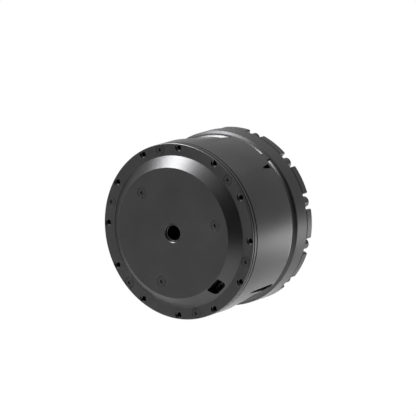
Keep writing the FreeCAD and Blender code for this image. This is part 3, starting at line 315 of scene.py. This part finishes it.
def finish(name, colour, darker, metallic, rough, lines=0.0, grains=0.3, fineness=9000.0,
           line_fineness=14000.0, edge_tint=1.0):
    """A finish that runs between two colours and two roughnesses, with lines and grain as relief."""
    material = bpy.data.materials.new(name)
    material.use_nodes = True
    tree = material.node_tree
    surface = tree.nodes["Principled BSDF"]
    surface.inputs["Metallic"].default_value = metallic
    surface.inputs["Specular Tint"].default_value = (edge_tint, edge_tint, edge_tint, 1)
    patches = placed(tree, cloud, 60.0)
    specks = placed(tree, grain, fineness)
    tint = add(tree, "ShaderNodeMix", data_type="RGBA")
    tint.inputs["A"].default_value = (*darker, 1)
    tint.inputs["B"].default_value = (*colour, 1)
    mixed = math_node(tree, "ADD", math_node(tree, "MULTIPLY", patches, 0.5),
                      math_node(tree, "MULTIPLY", specks, 0.5))
    tree.links.new(ramp(tree, mixed, 0, 1, 0.35, 0.65), tint.inputs["Factor"])
    tree.links.new(tint.outputs["Result"], surface.inputs["Base Color"])
    tree.links.new(ramp(tree, mixed, rough[0], rough[1]), surface.inputs["Roughness"])
    height = math_node(tree, "MULTIPLY", specks, grains)
    if lines:
        turned = placed(tree, lathe, line_fineness)
        height = math_node(tree, "ADD", height, math_node(tree, "MULTIPLY", turned, lines))
    relief = add(tree, "ShaderNodeBump", Strength=0.35, Distance=0.00002)
    tree.links.new(height, relief.inputs["Height"])
    tree.links.new(relief.outputs["Normal"], surface.inputs["Normal"])
    return material


def coat(material, *pieces):
    """One finish all over each of these pieces."""
    for piece in pieces:
        piece.data.materials.clear()
        piece.data.materials.append(material)


black_anodised = finish("Black anodised aluminium", (0.042, 0.042, 0.043), (0.035, 0.035, 0.036),
                        1.0, (0.33, 0.42), lines=0.5, grains=0.5, edge_tint=0.8)
coat(black_anodised, drum, nodes["main_housing"])


# ---------------------------------------------------------------- stator
# A stack of stamped steel sheets in the drum's bore, with enamelled copper wound round its teeth.
# Long screws through a turned end plate clamp it to the shoulder, and its leads run to the board.
lamination_steel = finish("Stacked electrical steel", (0.2, 0.2, 0.21), (0.11, 0.11, 0.12),
                          1.0, (0.35, 0.5), lines=1.0, line_fineness=3000.0)
copper_wire = finish("Enamelled copper wire", (0.55, 0.21, 0.07), (0.38, 0.13, 0.04),
                     0.8, (0.25, 0.4), lines=1.0, line_fineness=2200.0)
lead_sleeve = finish("Sleeve of a motor lead", (0.3, 0.03, 0.02), (0.2, 0.02, 0.015),
                     0.0, (0.45, 0.6))
plain_aluminium = finish("Turned aluminium", (0.6, 0.6, 0.61), (0.5, 0.5, 0.51),
                         1.0, (0.28, 0.4), lines=0.8)
steel_screw = finish("Bright screw steel", (0.5, 0.49, 0.47), (0.4, 0.39, 0.38), 1.0, (0.25, 0.35))
coat(lamination_steel, nodes["stator_core"])
coat(copper_wire, nodes["stator_coils"])
coat(lead_sleeve, nodes["motor_leads"])
coat(plain_aluminium, nodes["motor_end_plate"])
coat(steel_screw, nodes["tie_screws"])


# ---------------------------------------------------------------- rotor
# A steel hub on a hollow shaft, with nickel-plated magnets glued round its rim and a magnetic
# code ring on the shaft's tail. It runs in two ball bearings of ground steel.
gear_steel = finish("Hardened gear steel", (0.33, 0.32, 0.31), (0.25, 0.245, 0.24),
                    1.0, (0.25, 0.38), lines=0.3)
magnet_nickel = finish("Nickel-plated magnet", (0.5, 0.49, 0.46), (0.42, 0.41, 0.39),
                       1.0, (0.15, 0.28))
code_ring_ferrite = finish("Bonded ferrite", (0.03, 0.028, 0.027), (0.018, 0.017, 0.017),
                           0.0, (0.5, 0.7))
bearing_steel = finish("Ground bearing steel", (0.6, 0.6, 0.59), (0.5, 0.5, 0.49),
                       1.0, (0.12, 0.2), lines=0.6, grains=0.1)
coat(gear_steel, nodes["rotor_shaft"], nodes["rotor_hub"])
coat(magnet_nickel, nodes["rotor_magnets"])
coat(code_ring_ferrite, nodes["rotor_code_ring"])
for bearing in ("rear_bearing", "front_bearing"):
    coat(bearing_steel, nodes[f"{bearing}_outer_race"], nodes[f"{bearing}_inner_race"])


# ---------------------------------------------------------------- gearbox housing
# The front ring, turned in one piece with its floor, screwed to the drum from inside and anodised
# like it. Its hollow back makes a groove round the drum, which two lugs bridge over dowel pins.
def bevelled(piece, width, segments=1, angle=35):
    """Break the real edges of a piece by width millimetres."""
    take(piece)
    bpy.ops.object.modifier_add(type="BEVEL")
    step = piece.modifiers[-1]
    step.width = width * MM
    step.segments = segments
    step.limit_method = "ANGLE"
    step.angle_limit = radians(angle)
    bpy.ops.object.modifier_apply(modifier=step.name)
    bpy.ops.object.shade_smooth_by_angle(angle=EDGE_ANGLE)
    return piece


BEARING_BACK, GEARBOX_END = span("gearbox_housing")
BEARING_FRONT = span("front_bearing_outer_race")[1]
GEAR_START, GEAR_END = span("ring_gear")
RETAINER_START = span("bearing_retainer")[0]
GROOVE_END = 44.7
GROOVE = [(45.4, HOUSING_END), (46.9, 42.5), (47.15, 43.05), (47.45, 43.6), (47.75, 43.95),
          (OUTER, GROOVE_END)]
RING_EDGE = 0.2
RETAINER_BORE = 47.8
RACE_BORE = 44.03
GEAR_BORE = 42.02
CARRIER_BORE = 36.79
FLOOR_END = 35.4
SHAFT_BORE = 11.5
BEARING_BORE = 13.03
BEARING_BOSS = 15.5
SPIGOT = 43.97
ring = spun("gearbox_ring", GROOVE + [
    (OUTER, GEARBOX_END - RING_EDGE), (OUTER - RING_EDGE, GEARBOX_END),
    (RETAINER_BORE, GEARBOX_END), (RETAINER_BORE, RETAINER_START),
    (RACE_BORE, RETAINER_START), (RACE_BORE, GEAR_END), (GEAR_BORE, GEAR_END),
    (GEAR_BORE, GEAR_START), (CARRIER_BORE, GEAR_START), (CARRIER_BORE, FLOOR_END),
    (SHAFT_BORE, FLOOR_END), (SHAFT_BORE, BEARING_FRONT), (BEARING_BORE, BEARING_FRONT),
    (BEARING_BORE, BEARING_BACK), (BEARING_BOSS, BEARING_BACK), (BEARING_BOSS, FLOOR_START),
    (SPIGOT, FLOOR_START), (SPIGOT, HOUSING_END)])
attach(ring, "stator_body")
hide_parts("gearbox_housing")
coat(black_anodised, ring, nodes["gearbox_housing"])

LUG_ROOT = 44.4
LUG_TOP = 48.6
LUG_START = 39.0
LUG_WIDTH = 6.0
LUG_STEPS = 8
LUG_EDGE = 0.5
lug_profile = [(LUG_ROOT, LUG_START), (LUG_TOP, LUG_START), (LUG_TOP, GROOVE_END),
               (LUG_ROOT, GROOVE_END)]
for number, direction in enumerate((52.5, 232.5), 1):
    lug = sector(f"lug_{number}", lug_profile, LUG_WIDTH, direction, LUG_STEPS)
    bevelled(lug, LUG_EDGE, segments=3, angle=40)
    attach(lug, "stator_body")
    coat(black_anodised, lug)
coat(steel_screw, nodes["dowel_pins"], nodes["gearbox_screws"])


# ---------------------------------------------------------------- gears and carrier
# The sun on the rotor's shaft, three planets and the ring gear are cut in steel and hardened. The
# planets run on bronze bushes over pins, which the carrier's disc and plate hold at both ends.
bronze = finish("Sintered bronze", (0.42, 0.25, 0.1), (0.3, 0.17, 0.07), 1.0, (0.4, 0.55))
coat(gear_steel, nodes["sun_gear"], nodes["ring_gear"], nodes["planet_gear_1"],
     nodes["planet_gear_2"], nodes["planet_gear_3"], nodes["carrier_plate"], nodes["planet_pins"])
coat(bronze, nodes["planet_bushes"])
coat(plain_aluminium, nodes["carrier_disc"])
coat(steel_screw, nodes["carrier_screws"])


# ---------------------------------------------------------------- output bearing
# A crossed-roller bearing of ground steel, its rollers held apart by small plastic spacers. A
# screwed aluminium ring keeps its outer race in, and a rubber lip closes that ring to the flange.
spacer_plastic = finish("White spacer plastic", (0.7, 0.69, 0.66), (0.6, 0.59, 0.56),
                        0.0, (0.4, 0.55))
seal_rubber = finish("Black seal rubber", (0.018, 0.018, 0.018), (0.01, 0.01, 0.01),
                     0.0, (0.55, 0.75))
coat(bearing_steel, nodes["output_bearing_outer_race"], nodes["output_bearing_inner_race"],
     nodes["crossed_rollers"])
coat(spacer_plastic, nodes["roller_spacers"])
coat(plain_aluminium, nodes["bearing_retainer"])
coat(steel_screw, nodes["retainer_screws"])
coat(seal_rubber, nodes["output_seal"])


# ---------------------------------------------------------------- output flange
# The turning face of the joint: an anodised disc with twelve wide gaps milled round its rim, so
# that twelve long lobes remain. In each gap stands a short round lobe with a tapped M3 hole.
HOLE_ROUND = 40
THREAD_RADIUS = 1.5


def copy_round(piece, first, count):
    """Copies of a piece evenly round the axis, each with a mesh of its own, in place of it."""
    found = []
    for number in range(count):
        turned = piece.copy()
        turned.data = piece.data.copy()
        turned.name = f"{piece.name}_{number + 1}"
        turned.data.name = turned.name
        bpy.context.scene.collection.objects.link(turned)
        turn_to(turned, first + number * 360 / count)
        found.append(turned)
    bpy.data.objects.remove(piece)
    return found


def tapped_hole(circle, start, end, relief=0.6, mouth=0.5, pitch=0.5, depth=0.16):
    """Cutter for an M3 thread: a relieved mouth at start, then one ridge for each pitch."""
    crest = THREAD_RADIUS - depth / 2
    place = start + relief + 0.3
    profile = [(0, start - 1), (THREAD_RADIUS + mouth, start - 1),
               (THREAD_RADIUS + mouth, start + relief), (crest, place)]
    while place + pitch < end:
        profile += [(crest + depth, place + pitch / 2), (crest, place + pitch)]
        place += pitch
    return spun("tap", profile + [(crest, end), (0, end)], HOLE_ROUND, circle)


FLANGE_FOOT, FLANGE_END = span("output_flange")
FLANGE_START = 54.9
HEAD_LOW = 55.15
TUBE_SEAT = 57.8
FOOT_RADIUS = 38.3
TUBE_HOLE = 4.88
COLLAR_BORE = 8.03
OUTPUT_SCREWS = 6
OUTPUT_SCREW_CIRCLE = 22.0
CLEARANCE_HOLE = 2.15
COUNTERBORE = 3.65
COUNTERBORE_FLARE = 0.25
COUNTERBORE_START = 51.0
PAST_FLANGE = 60.0
flange = spun("output_flange_lobed", [
    (TUBE_HOLE, FLANGE_FOOT), (FOOT_RADIUS, FLANGE_FOOT), (FOOT_RADIUS, FLANGE_START),
    (OUTER, FLANGE_START), (OUTER, FLANGE_END), (COLLAR_BORE, FLANGE_END),
    (COLLAR_BORE, TUBE_SEAT), (TUBE_HOLE, TUBE_SEAT)])
counterbore = spun("counterbore", [
    (0, COUNTERBORE_START), (CLEARANCE_HOLE, COUNTERBORE_START), (CLEARANCE_HOLE, HEAD_LOW),
    (COUNTERBORE, HEAD_LOW), (COUNTERBORE, FLANGE_END - 0.2),
    (COUNTERBORE + COUNTERBORE_FLARE, FLANGE_END + 0.05),
    (COUNTERBORE + COUNTERBORE_FLARE, PAST_FLANGE), (0, PAST_FLANGE)],
    HOLE_ROUND, OUTPUT_SCREW_CIRCLE)
work(flange, copy_round(counterbore, 0, OUTPUT_SCREWS))

LOBES = 12
FIRST_LOBE = 15
GAP_DEPTH = 5.2
GAP_FLOOR = OUTER - GAP_DEPTH
GAP_HALF = 4.3
GAP_START = 54.0
LOBE_CORNER = 1.4
flare = []
for turn in range(5):
    angle = radians(turn * 22.5)
    flare.append((OUTER - LOBE_CORNER + LOBE_CORNER * sin(angle),
                  GAP_HALF + LOBE_CORNER - LOBE_CORNER * cos(angle)))
gap_corners = [(GAP_FLOOR, -GAP_HALF), (GAP_FLOOR, GAP_HALF)] + flare
gap_corners += [(CLEAR, GAP_HALF + LOBE_CORNER), (CLEAR, -GAP_HALF - LOBE_CORNER)]
gap_corners += [(x, -z) for x, z in reversed(flare)]
work(flange, copy_round(prism("gap", gap_corners, GAP_START, PAST_FLANGE), FIRST_LOBE, LOBES))

LOBE_RADIUS = 3.0
LOBE_CIRCLE = 45.5
LOBE_EDGE = 0.22
round_lobe = spun("round_lobe", [
    (0, FLANGE_START), (LOBE_RADIUS, FLANGE_START), (LOBE_RADIUS, FLANGE_END), (0, FLANGE_END)],
    HOLE_ROUND, LOBE_CIRCLE)
work(flange, copy_round(round_lobe, FIRST_LOBE, LOBES), "UNION")
bevelled(flange, LOBE_EDGE)

TAP_CIRCLE = 45.0
tap = tapped_hole(TAP_CIRCLE, -FLANGE_END, -FLANGE_START + 1)
tap.data.transform(Matrix.Rotation(pi, 4, "X"))
work(flange, copy_round(tap, FIRST_LOBE, LOBES))
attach(flange, "output")
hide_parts("output_flange")
coat(black_anodised, flange, nodes["output_flange"])


# ---------------------------------------------------------------- output screws
# Six M4 cap screws of blackened steel that bolt the flange to the planet carrier. Each has a
# plain round head with a broken edge and a hexagon socket, and sits in a counterbore.
def hexagon(circle, face, radius, depth):
    """Cutter for a hexagon socket, centred on a face that looks along Y."""
    clear_selection()
    bpy.ops.mesh.primitive_cylinder_add(vertices=6, radius=radius * MM, depth=depth * MM,
                                        location=(circle * MM, face * MM, 0),
                                        rotation=(radians(90), 0, 0))
    bpy.ops.object.transform_apply(location=True, rotation=True, scale=True)
    return bpy.context.object


HEAD_HIGH = span("output_screws")[1]
SCREW_TIP = 47.6
KEY_RADIUS = 1.73
KEY_DEPTH = 4.0
CAP_SHANK = 2.0
CAP_HEAD = 3.5
cap = spun("output_screw_m4", [
    (0, SCREW_TIP), (CAP_SHANK - 0.4, SCREW_TIP), (CAP_SHANK, SCREW_TIP + 0.4),
    (CAP_SHANK, HEAD_LOW), (CAP_HEAD, HEAD_LOW), (CAP_HEAD, HEAD_HIGH - 0.4),
    (CAP_HEAD - 0.3, HEAD_HIGH - 0.05), (0, HEAD_HIGH - 0.05)], HOLE_ROUND, OUTPUT_SCREW_CIRCLE)
work(cap, [hexagon(OUTPUT_SCREW_CIRCLE, HEAD_HIGH, KEY_RADIUS, KEY_DEPTH)])
black_screw = finish("Blackened screw steel", (0.04, 0.04, 0.041), (0.03, 0.03, 0.031),
                     1.0, (0.3, 0.42), edge_tint=0.8)
for screw in copy_round(cap, 0, OUTPUT_SCREWS):
    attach(screw, "output")
    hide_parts("output_screws")
    coat(black_screw, screw)
coat(black_screw, nodes["output_screws"])


# ---------------------------------------------------------------- hollow tube
# A thin aluminium tube through the whole joint that keeps the cables off the rotor. Its rear end
# lies just below the cover's face, its front collar is let into the flange, and a magnetic code
# ring sits on it behind the driver board.
TUBE_START = span("hollow_tube")[0]
TUBE_ROUND = 96
TUBE_OUTER = 4.85
TUBE_INNER = 4.2
COLLAR = 8.0
tube = spun("hollow_tube_sleeve", [
    (TUBE_INNER + 0.15, TUBE_START), (TUBE_OUTER - 0.15, TUBE_START),
    (TUBE_OUTER, TUBE_START + 0.15), (TUBE_OUTER, TUBE_SEAT), (COLLAR, TUBE_SEAT),
    (COLLAR, FLANGE_END - 0.15), (COLLAR - 0.15, FLANGE_END), (TUBE_INNER + 0.2, FLANGE_END),
    (TUBE_INNER, FLANGE_END - 0.2), (TUBE_INNER, TUBE_START + 0.2)], TUBE_ROUND)
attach(tube, "output")
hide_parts("hollow_tube")
# The tube's aluminium gets a near-black colour as painted shade, so that the bore looks dark inside
# as if little light reached it.
bore_shade_tube_finish = finish("Tube aluminium", (0.06, 0.06, 0.062), (0.045, 0.045, 0.046),
                        1.0, (0.25, 0.36), lines=0.8)
coat(bore_shade_tube_finish, tube, nodes["hollow_tube"])
coat(code_ring_ferrite, nodes["output_code_ring"])


# ---------------------------------------------------------------- driver board
# A green board with its chips, power transistors, sensors, capacitors and cable socket soldered
# on. Turned aluminium posts hold it off the cover, and spacers off the motor's end plate.
circuit_board = finish("Green solder mask", (0.01, 0.09, 0.035), (0.006, 0.05, 0.02),
                       0.0, (0.25, 0.4), fineness=1500.0)
chip_plastic = finish("Chip moulding", (0.02, 0.02, 0.021), (0.012, 0.012, 0.013), 0.0, (0.5, 0.65))
capacitor_can = finish("Capacitor can", (0.55, 0.55, 0.56), (0.45, 0.45, 0.46), 1.0, (0.25, 0.35))
socket_plastic = finish("Socket moulding", (0.02, 0.02, 0.02), (0.012, 0.012, 0.012),
                        0.0, (0.4, 0.55))
coat(circuit_board, nodes["driver_board"])
coat(chip_plastic, nodes["power_transistors"], nodes["controller_chips"],
     nodes["position_sensors"])
coat(capacitor_can, nodes["capacitors"])
coat(socket_plastic, nodes["cable_socket"])
coat(plain_aluminium, nodes["board_posts"], nodes["board_spacers"])


# ---------------------------------------------------------------- rear cover
# A dish turned from an aluminium bar, then blasted and anodised black. Its rim has twelve M3 holes
# tapped right through and seats for its screws, and a notch in its cone lets the cables out.
SCREW_HEAD = 2.75
SCREW_SHANK = 1.5


def sunk_seat(circle, face, end, gap=0.12):
    """Cutter for the countersunk seat of an M3 screw that is driven along +Y."""
    head = SCREW_HEAD + gap
    shank = SCREW_SHANK + gap
    return spun("seat", [(0, face - 1), (head, face - 1), (head, face + 0.12),
                         (shank, face + head - shank + 0.12), (shank, end), (0, end)],
                HOLE_ROUND, circle)


PLATE_FACE, SPIGOT_END = span("rear_cover")
PLATE_BACK = -3.2
RIM_BACK = 3.1
COVER_BORE = 5.0
PLATE = 36.3
CONE_FOOT = 42.3
SPIGOT_BORE = 42.62
INSIDE_FOOT = 40.2
INSIDE_TOP = 35.2
RIM_LINE = 1.2
LINE_DEPTH = 0.45
cover = spun("rear_cover_dish", [
    (COVER_BORE, PLATE_FACE + 0.4), (COVER_BORE + 0.4, PLATE_FACE), (PLATE - 0.12, PLATE_FACE),
    (PLATE + 0.1, PLATE_FACE + 0.09), (CONE_FOOT - 0.08, -0.07), (CONE_FOOT + 0.08, 0),
    (OUTER - 0.25, 0), (OUTER, 0.25), (OUTER, RIM_LINE), (OUTER - LINE_DEPTH, RIM_LINE + 0.05),
    (OUTER - LINE_DEPTH, RIM_LINE + 0.75), (OUTER, RIM_LINE + 0.8), (OUTER, SEAM - SEAM_HALF),
    (OUTER - SEAM_DEPTH, SEAM - SEAM_HALF + 0.05), (OUTER - SEAM_DEPTH, SEAM), (SPIGOT, SEAM),
    (SPIGOT, SPIGOT_END), (SPIGOT_BORE, SPIGOT_END), (SPIGOT_BORE, RIM_BACK),
    (INSIDE_FOOT, RIM_BACK), (INSIDE_TOP, PLATE_BACK), (COVER_BORE, PLATE_BACK)])

COVER_SCREW_CIRCLE = 45.9
COVER_SCREWS = 6
FIRST_COVER_SCREW = 45
PLATE_SCREW_CIRCLE = 28.8
PLATE_SCREWS = 3
FIRST_PLATE_SCREW = 15
THROUGH = SPIGOT_END + 0.2
work(cover, copy_round(sunk_seat(COVER_SCREW_CIRCLE, 0, THROUGH), FIRST_COVER_SCREW, COVER_SCREWS))
work(cover, copy_round(sunk_seat(PLATE_SCREW_CIRCLE, PLATE_FACE, PLATE_BACK + 0.2),
                       FIRST_PLATE_SCREW, PLATE_SCREWS))

NOTCH_START = 36.4
NOTCH_END = 41.2
NOTCH_HALF = 5.0
NOTCH_CORNER = 2.4
NOTCH_DIRECTION = -45
NOTCH_LOW = -8.0
corner_place = NOTCH_END - NOTCH_CORNER
notch_corners = [(NOTCH_START, -NOTCH_HALF), (corner_place, -NOTCH_HALF)]
for side, first in ((-1, -75), (1, 15)):
    for turn in range(3):
        angle = radians(first + turn * 30)
        notch_corners.append((corner_place + NOTCH_CORNER * cos(angle),
                              side * (NOTCH_HALF - NOTCH_CORNER) + NOTCH_CORNER * sin(angle)))
notch_corners += [(corner_place, NOTCH_HALF), (NOTCH_START, NOTCH_HALF)]
work(cover, [turn_to(prism("notch", notch_corners, NOTCH_LOW, RIM_BACK + 0.06),
                     NOTCH_DIRECTION)])

RIM_HOLE_CIRCLE = 46.75
RIM_HOLES = 12
RIM_HOLE_RELIEF = 0.85
work(cover, copy_round(tapped_hole(RIM_HOLE_CIRCLE, 0, THROUGH, RIM_HOLE_RELIEF), 0, RIM_HOLES))
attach(cover, "stator_body")
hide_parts("rear_cover")
coat(black_anodised, cover, nodes["rear_cover"])


# ---------------------------------------------------------------- countersunk screws
# M3 screws of blackened steel with a hexagon socket: six hold the cover and three the board posts.
# One of each length is turned and its socket pressed in, and the others are copies of it.
COVER_SCREW_LENGTH = 10.0
PLATE_SCREW_LENGTH = 7.0
SUNK_KEY_RADIUS = 1.1
SUNK_KEY_DEPTH = 1.4


def sunk_screw(name, circle, face, length):
    """A countersunk M3 screw whose head is flush with a face that looks to -Y."""
    screw = spun(name, [(0, face + 0.04), (SCREW_HEAD - 0.13, face + 0.04),
                        (SCREW_HEAD - 0.03, face + 0.16), (SCREW_SHANK, face + 1.4),
                        (SCREW_SHANK, face + length - 0.4), (SCREW_SHANK - 0.4, face + length),
                        (0, face + length)], HOLE_ROUND, circle)
    return work(screw, [hexagon(circle, face, SUNK_KEY_RADIUS, SUNK_KEY_DEPTH)])


cover_screw = sunk_screw("cover_screw_m3", COVER_SCREW_CIRCLE, 0, COVER_SCREW_LENGTH)
for screw in copy_round(cover_screw, FIRST_COVER_SCREW, COVER_SCREWS):
    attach(screw, "stator_body")
    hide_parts("cover_screws")
    coat(black_screw, screw)
plate_screw = sunk_screw("plate_screw_m3", PLATE_SCREW_CIRCLE, PLATE_FACE, PLATE_SCREW_LENGTH)
for screw in copy_round(plate_screw, FIRST_PLATE_SCREW, PLATE_SCREWS):
    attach(screw, "stator_body")
    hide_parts("plate_screws")
    coat(black_screw, screw)
coat(black_screw, nodes["cover_screws"], nodes["plate_screws"])


# ---------------------------------------------------------------- studio
# A pale floor below the actuator, large soft lamps, and a long lens that looks at the cover
# from its front right and a little above.
clear_selection()
bpy.ops.mesh.primitive_plane_add(size=1.5, location=(0, 0, -0.3))
floor = bpy.context.object
floor.name = "studio_floor"
paint = bpy.data.materials.new("Pale floor")
paint.use_nodes = True
paint_surface = paint.node_tree.nodes["Principled BSDF"]
paint_surface.inputs["Base Color"].default_value = (0.8, 0.8, 0.8, 1)
paint_surface.inputs["Roughness"].default_value = 0.8
coat(paint, floor)

# The room is white where it is seen or mirrored, and dimmer where it only lights the actuator. Its
# dark corner, towards the front right, is never seen itself: it deepens the faces that look there.
world = bpy.data.worlds.new("Studio")
bpy.context.scene.world = world
world.use_nodes = True
room = world.node_tree
background = room.nodes["Background"]
background.inputs["Color"].default_value = (1, 1, 1, 1)
rays = add(room, "ShaderNodeLightPath")
seen = math_node(room, "MAXIMUM", rays.outputs["Is Camera Ray"], rays.outputs["Is Glossy Ray"])
seen = math_node(room, "MAXIMUM", seen, rays.outputs["Is Transmission Ray"])
not_camera = math_node(room, "SUBTRACT", 1.0, rays.outputs["Is Camera Ray"])
look = add(room, "ShaderNodeTexCoord")
toward = add(room, "ShaderNodeVectorMath", operation="DOT_PRODUCT")
room.links.new(look.outputs["Generated"], toward.inputs[0])
toward.inputs[1].default_value = Vector((0.68, -0.68, 0.2)).normalized()
dark_corner = ramp(room, toward.outputs["Value"], 0.0, 0.95, 0.62, 0.92)
level = math_node(room, "SUBTRACT", ramp(room, seen, 0.6, 1.0, 0, 1),
                  math_node(room, "MULTIPLY", not_camera, dark_corner))
room.links.new(math_node(room, "MAXIMUM", level, 0.05), background.inputs["Strength"])

MIDDLE = Vector((0, 0.027, 0))


def lamp(name, offset, width, height, power):
    """A soft box at an offset in metres from the actuator's middle, which it looks at."""
    clear_selection()
    bpy.ops.object.light_add(type="AREA", location=MIDDLE + Vector(offset))
    light = bpy.context.object
    light.name = name
    light.data.shape = "RECTANGLE"
    light.data.size = width
    light.data.size_y = height
    light.data.energy = power
    light.rotation_euler = (-Vector(offset)).to_track_quat("-Z", "Y").to_euler()


lamp("Top left soft box", (-0.55, -0.36, 0.85), 0.5, 0.4, 32)
lamp("Right strip box", (0.36, 0.84, -0.39), 0.8, 0.5, 7)
lamp("Overhead strip box", (0.32, 0.1, 0.94), 0.34, 0.18, 18)

AZIMUTH = radians(33.6)
ELEVATION = radians(11.4)
RIGHTWARD = 0.01631924
UPWARD = 0.01295252
DISTANCE = 3.2858252
right = Vector((cos(AZIMUTH), sin(AZIMUTH), 0))
ahead = Vector((-sin(AZIMUTH), cos(AZIMUTH), 0))
forward = ahead * cos(ELEVATION) - Vector((0, 0, sin(ELEVATION)))
up = ahead * sin(ELEVATION) + Vector((0, 0, cos(ELEVATION)))
camera_data = bpy.data.cameras.new("Long lens")
camera_data.sensor_width = 36
camera_data.lens = 519.2
camera_data.clip_end = 20
camera = bpy.data.objects.new("Long lens", camera_data)
bpy.context.scene.collection.objects.link(camera)
camera.location = right * RIGHTWARD + up * UPWARD - forward * DISTANCE
camera.rotation_euler = forward.to_track_quat("-Z", "Y").to_euler()
bpy.context.scene.camera = camera
bpy.context.scene.view_settings.view_transform = "Standard"
